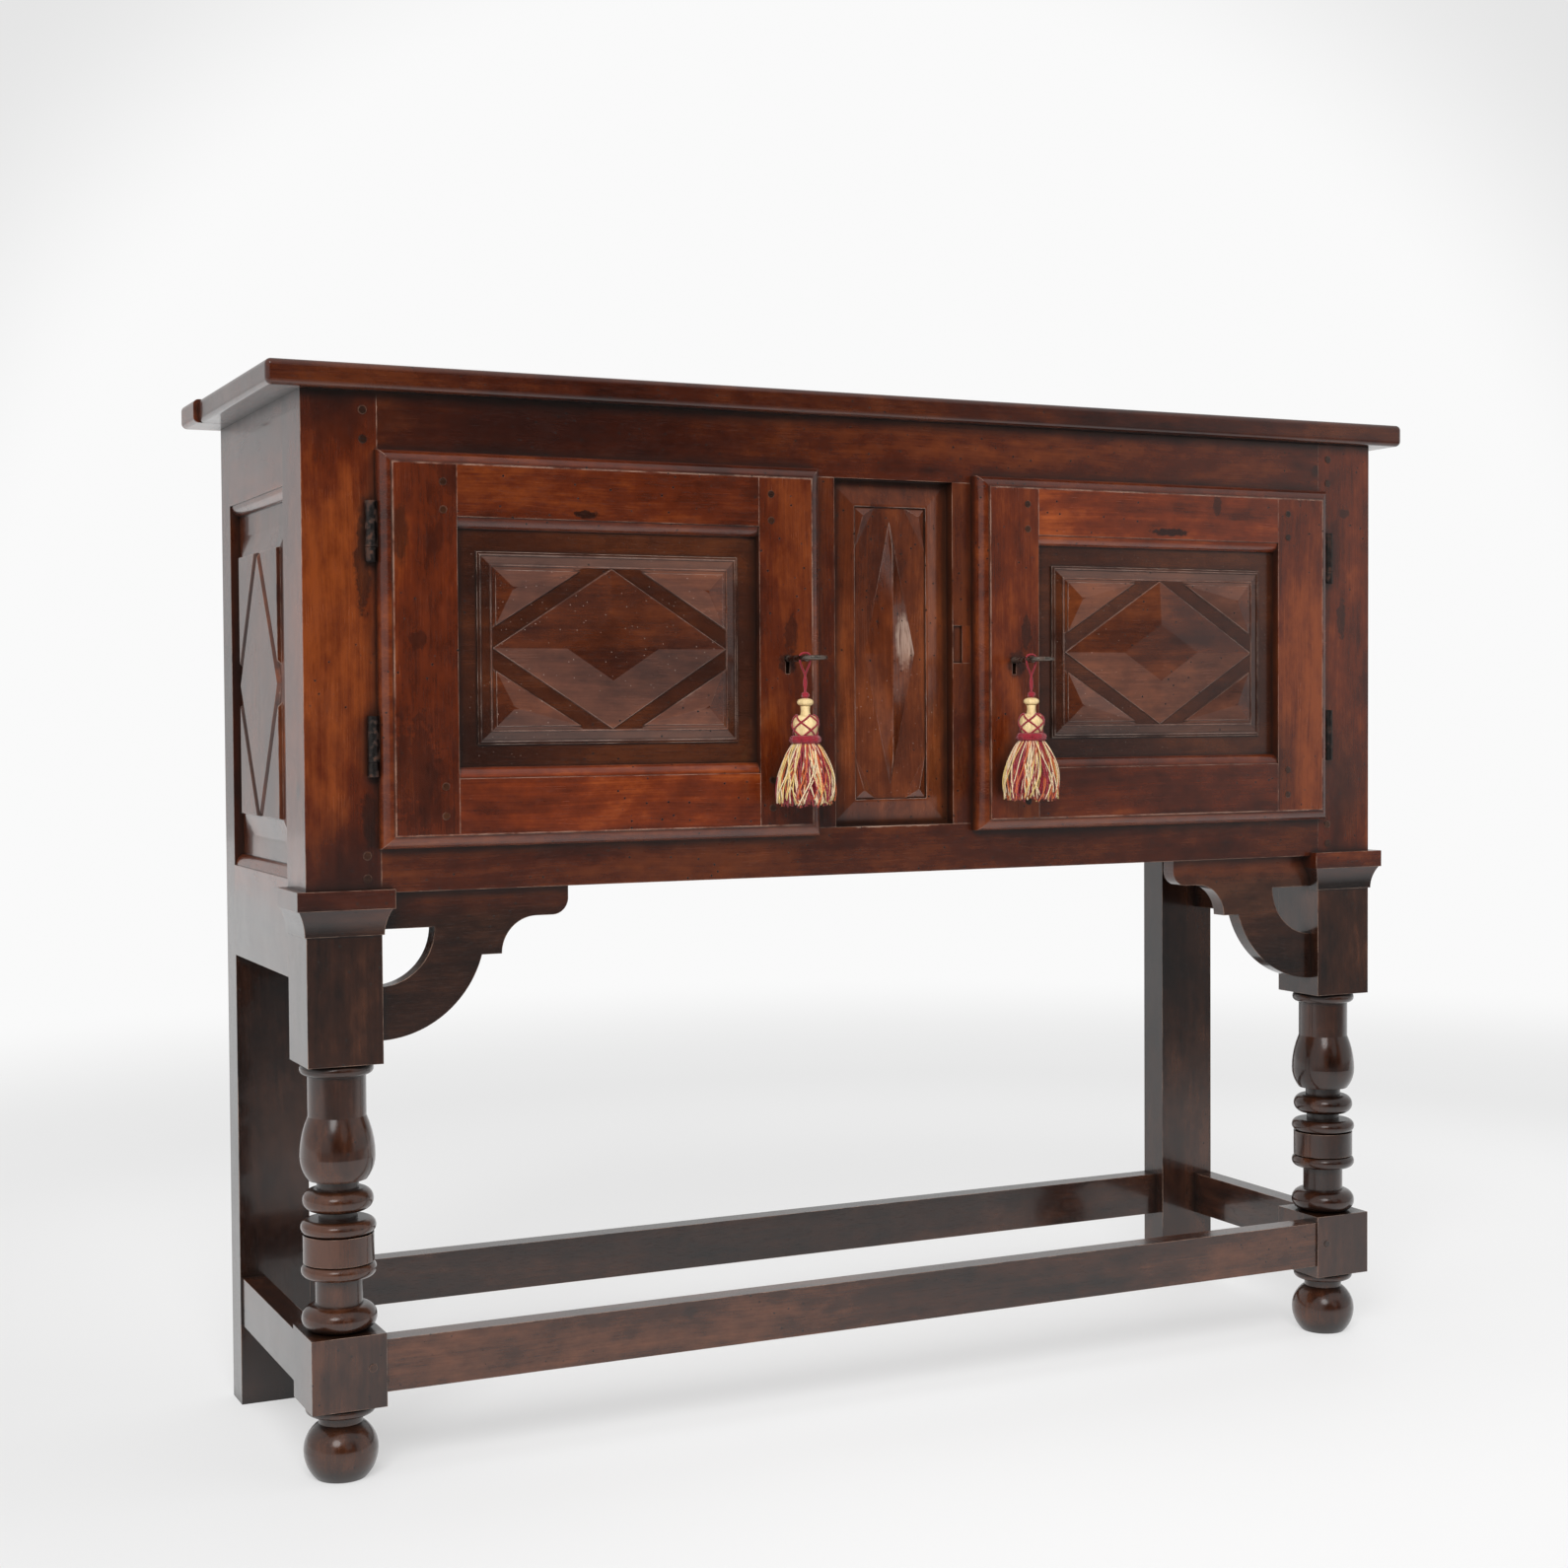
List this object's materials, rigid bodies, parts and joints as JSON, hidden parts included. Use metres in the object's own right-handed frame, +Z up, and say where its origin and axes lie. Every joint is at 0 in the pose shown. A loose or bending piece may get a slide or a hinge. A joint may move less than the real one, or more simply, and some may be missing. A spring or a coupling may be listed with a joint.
{
  "type": "cabinet",
  "caption": "Joined wooden cabinet on turned front legs with stretchers, hinged doors carved with lozenge panels, and a tasselled key that throws a bolt in each door.",
  "frame": {"origin": "on the floor under the middle of the overall box", "axes": "+X along the length, to the right seen from the front; +Y towards the back; +Z up; the doors face -Y"},
  "size_m": [1.367, 0.4675, 1.094],
  "materials": {
    "frame_oak": "polished",
    "panel_oak": "polished",
    "inner_oak": "matt",
    "peg_oak": "polished",
    "hinge_iron": "worn",
    "lock_steel": "dull",
    "key_iron": "worn",
    "tassel_cord": "matt",
    "tassel_thread": "matt"
  },
  "bodies": {
    "cabinet": {"back_boards": "inner_oak", "back_bottom_rail": "inner_oak", "back_stretcher": "frame_oak", "back_top_rail": "inner_oak", "bottom_boards": "inner_oak", "centre_panel": "panel_oak", "frame_pegs": "peg_oak", "front_bottom_rail": "frame_oak", "front_stretcher": "frame_oak", "front_top_rail": "frame_oak", "hinge_frame_halves": "hinge_iron", "left_back_post": "frame_oak", "left_bracket": "frame_oak", "left_collar": "frame_oak", "left_front_post": "frame_oak", "left_muntin": "frame_oak", "left_side_bottom_rail": "frame_oak", "left_side_panel": "panel_oak", "left_side_top_rail": "frame_oak", "left_stretcher": "frame_oak", "muntin_patch": "frame_oak", "right_back_post": "frame_oak", "right_bracket": "frame_oak", "right_collar": "frame_oak", "right_front_post": "frame_oak", "right_muntin": "frame_oak", "right_side_bottom_rail": "frame_oak", "right_side_panel": "panel_oak", "right_side_top_rail": "frame_oak", "right_stretcher": "frame_oak", "top_back_plank": "frame_oak", "top_front_plank": "frame_oak"},
    "left_door": {"left_door_bottom_rail": "frame_oak", "left_door_edge_moulding": "frame_oak", "left_door_hinge_halves": "hinge_iron", "left_door_hinge_stile": "frame_oak", "left_door_lock_stile": "frame_oak", "left_door_panel": "panel_oak", "left_door_pegs": "peg_oak", "left_door_top_rail": "frame_oak", "left_lock_case": "lock_steel"},
    "right_door": {"right_door_bottom_rail": "frame_oak", "right_door_edge_moulding": "frame_oak", "right_door_hinge_halves": "hinge_iron", "right_door_hinge_stile": "frame_oak", "right_door_lock_stile": "frame_oak", "right_door_panel": "panel_oak", "right_door_pegs": "peg_oak", "right_door_top_rail": "frame_oak", "right_lock_case": "lock_steel"},
    "left_key": {"left_key": "key_iron"},
    "right_key": {"right_key": "key_iron"},
    "left_bolt": {"left_lock_bolt": "lock_steel"},
    "right_bolt": {"right_lock_bolt": "lock_steel"},
    "left_tassel": {"left_tassel_cord": "tassel_cord", "left_tassel_head": "tassel_thread", "left_tassel_skirt": "tassel_thread"},
    "right_tassel": {"right_tassel_cord": "tassel_cord", "right_tassel_head": "tassel_thread", "right_tassel_skirt": "tassel_thread"}
  },
  "joints": [
    {"name": "left_door_swing", "type": "hinge", "parent": "cabinet", "child": "left_door", "pos_m": [-0.5765, -0.14525, 0.8185], "axis": [0, 0, -1], "range_deg": [0, 110]},
    {"name": "left_key_turn", "type": "hinge", "parent": "left_door", "child": "left_key", "pos_m": [-0.1355, -0.15875, 0.811], "axis": [0, -1, 0], "range_deg": [0, 90]},
    {"name": "left_bolt_throw", "type": "slide", "parent": "left_door", "child": "left_bolt", "axis": [1, 0, 0], "range_m": [0, 0.012]},
    {"name": "left_tassel_swing", "type": "hinge", "parent": "left_door", "child": "left_tassel", "pos_m": [-0.1355, -0.20025, 0.811], "axis": [0, 1, 0], "range_deg": [-18, 18]},
    {"name": "right_door_swing", "type": "hinge", "parent": "cabinet", "child": "right_door", "pos_m": [0.5815, -0.14525, 0.8185], "axis": [0, 0, 1], "range_deg": [0, 110]},
    {"name": "right_key_turn", "type": "hinge", "parent": "right_door", "child": "right_key", "pos_m": [0.1405, -0.15875, 0.811], "axis": [0, 1, 0], "range_deg": [0, 90]},
    {"name": "right_bolt_throw", "type": "slide", "parent": "right_door", "child": "right_bolt", "axis": [-1, 0, 0], "range_m": [0, 0.012]},
    {"name": "right_tassel_swing", "type": "hinge", "parent": "right_door", "child": "right_tassel", "pos_m": [0.1405, -0.19425, 0.811], "axis": [0, 1, 0], "range_deg": [-18, 18]}
  ],
  "couplings": [
    {"joint": "left_bolt_throw", "follows": "left_key_turn", "m_per_rad": 0.00763},
    {"joint": "right_bolt_throw", "follows": "right_key_turn", "m_per_rad": 0.00763}
  ]
}
